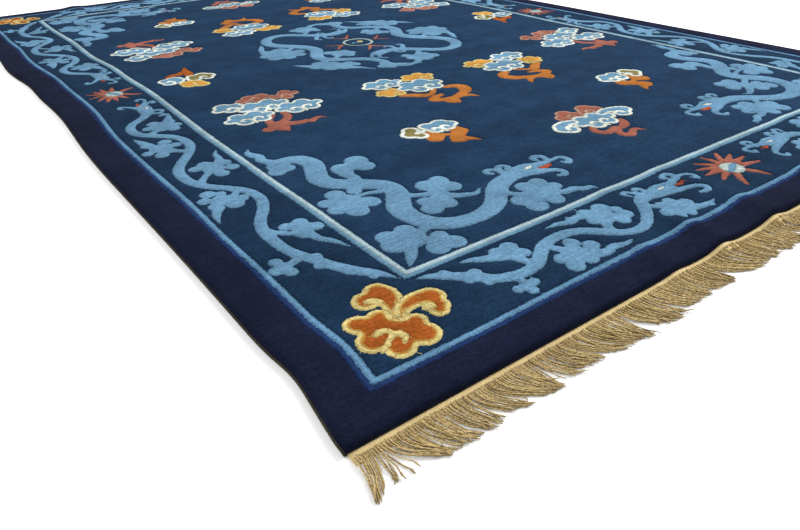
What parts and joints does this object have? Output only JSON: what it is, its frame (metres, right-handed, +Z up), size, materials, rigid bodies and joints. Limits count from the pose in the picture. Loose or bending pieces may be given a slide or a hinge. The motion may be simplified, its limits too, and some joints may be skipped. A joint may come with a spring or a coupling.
{
  "type": "chinese rug",
  "caption": "Rectangular knotted wool pile rug with carved dragon, cloud and flower ornament, lined borders and a cotton fringe along its short ends.",
  "frame": {"origin": "middle of the rug's underside, on the floor", "axes": "+Z up out of the pile, +Y along the length towards the far fringe, +X across the width"},
  "size_m": [1.8618, 2.8712, 0.0225],
  "materials": {
    "wool_pile": "matt cut wool pile, navy and deep blue with light blue, cream, gold and rust ornament",
    "cotton_fringe": "twisted cotton warp yarn, golden beige"
  },
  "bodies": {
    "root": {"pile_carpet": "wool_pile", "fringe_near": "cotton_fringe", "fringe_far": "cotton_fringe"}
  },
  "joints": []
}
